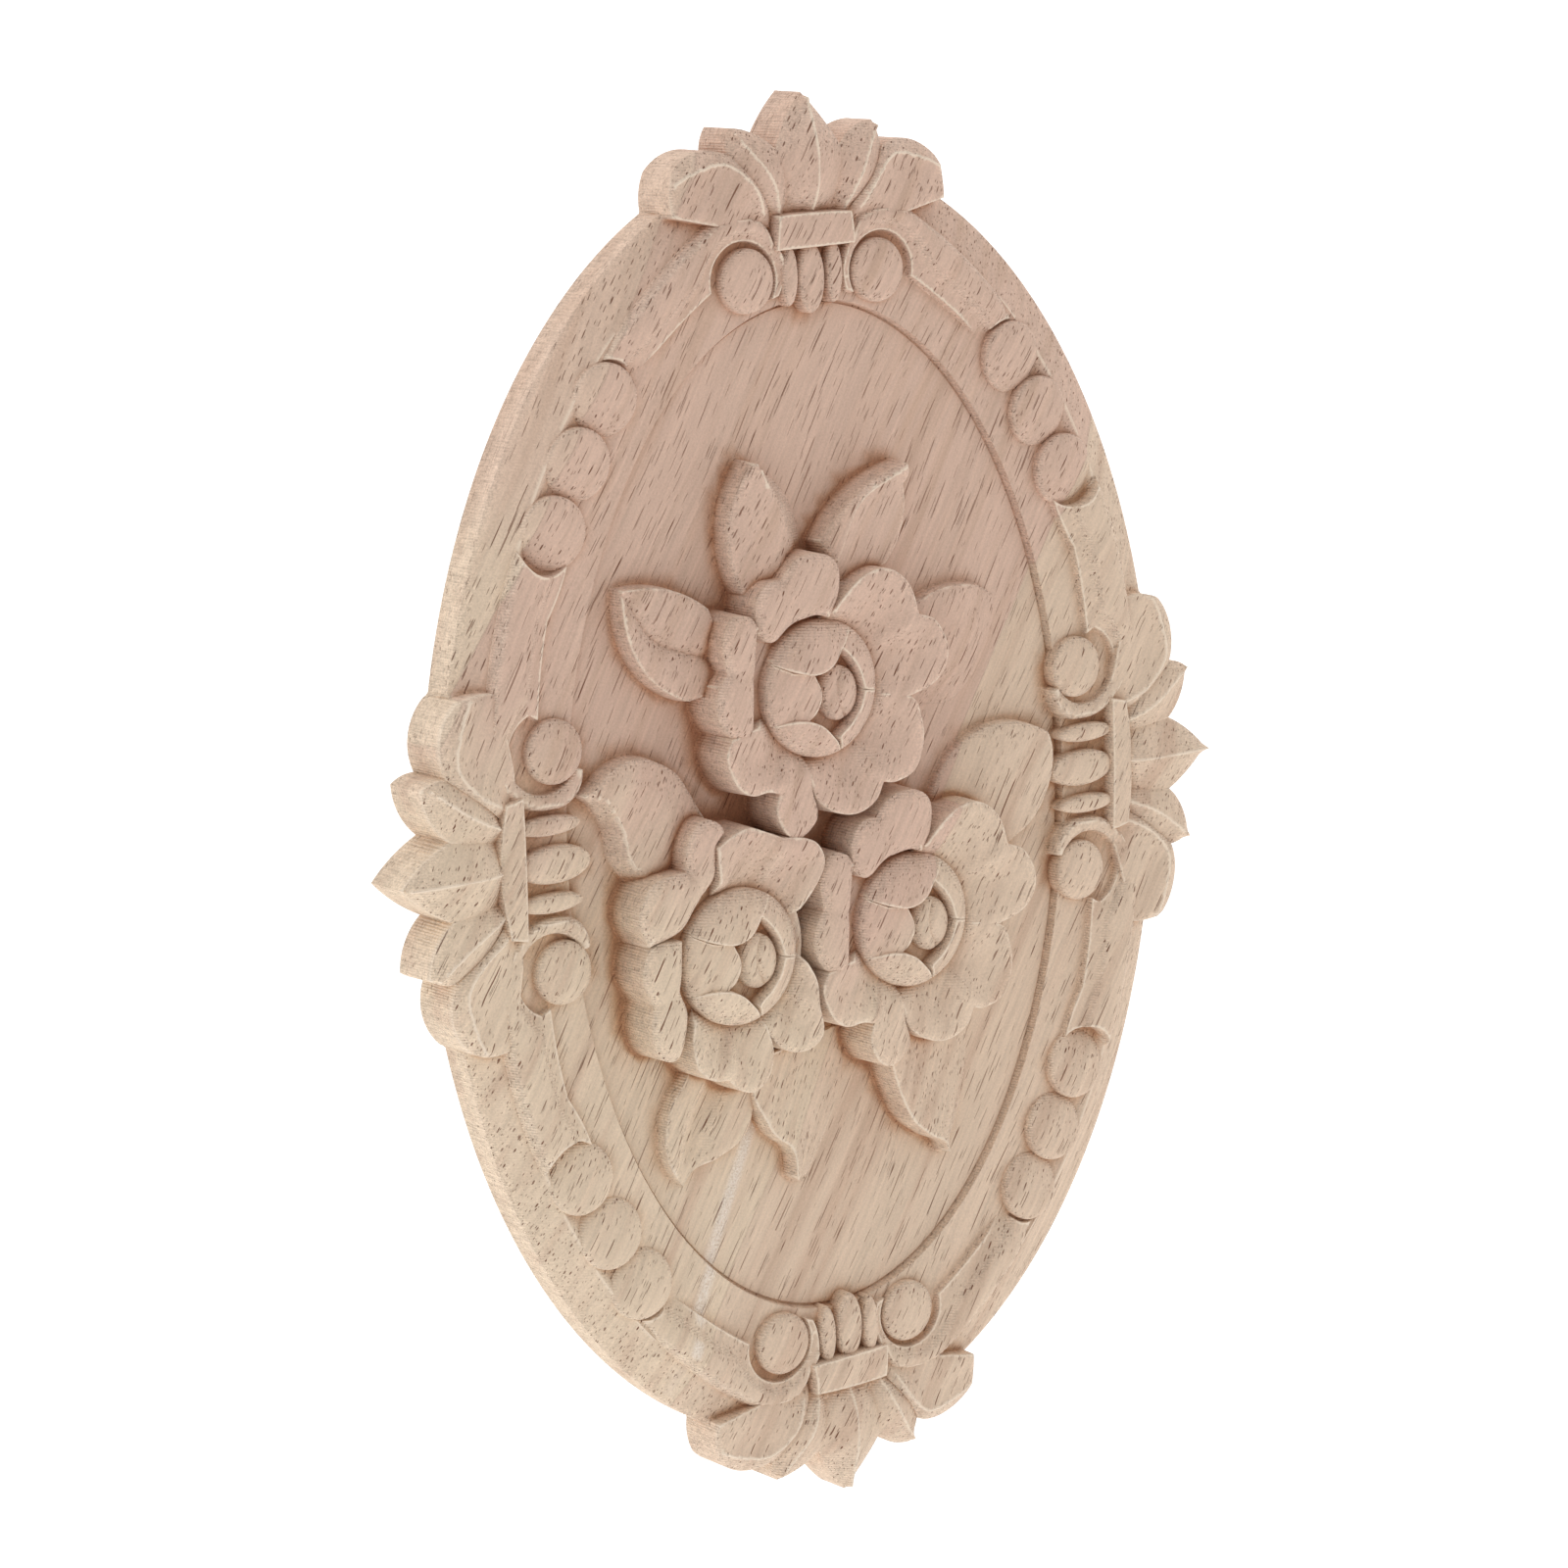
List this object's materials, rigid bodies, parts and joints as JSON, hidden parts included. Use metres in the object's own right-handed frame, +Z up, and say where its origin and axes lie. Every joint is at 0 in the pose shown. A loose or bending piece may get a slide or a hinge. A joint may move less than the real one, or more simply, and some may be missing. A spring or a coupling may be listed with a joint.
{
  "type": "carved wood applique",
  "caption": "Oval carved wood applique: scrolled and beaded border with a palmette at each end of both axes, and a spray of open roses and leaves on the sunk field.",
  "frame": {"origin": "centre of the flat back face, where it is glued to what it decorates", "axes": "+Z up along the long axis of the oval, +X to the viewer's right, and the carved face looks towards -Y"},
  "size_m": [0.1548, 0.0152, 0.22],
  "materials": {
    "raw_rubberwood": "raw, unsanded rubberwood"
  },
  "bodies": {
    "root": {"carved_oval_applique": "raw_rubberwood"}
  },
  "joints": []
}
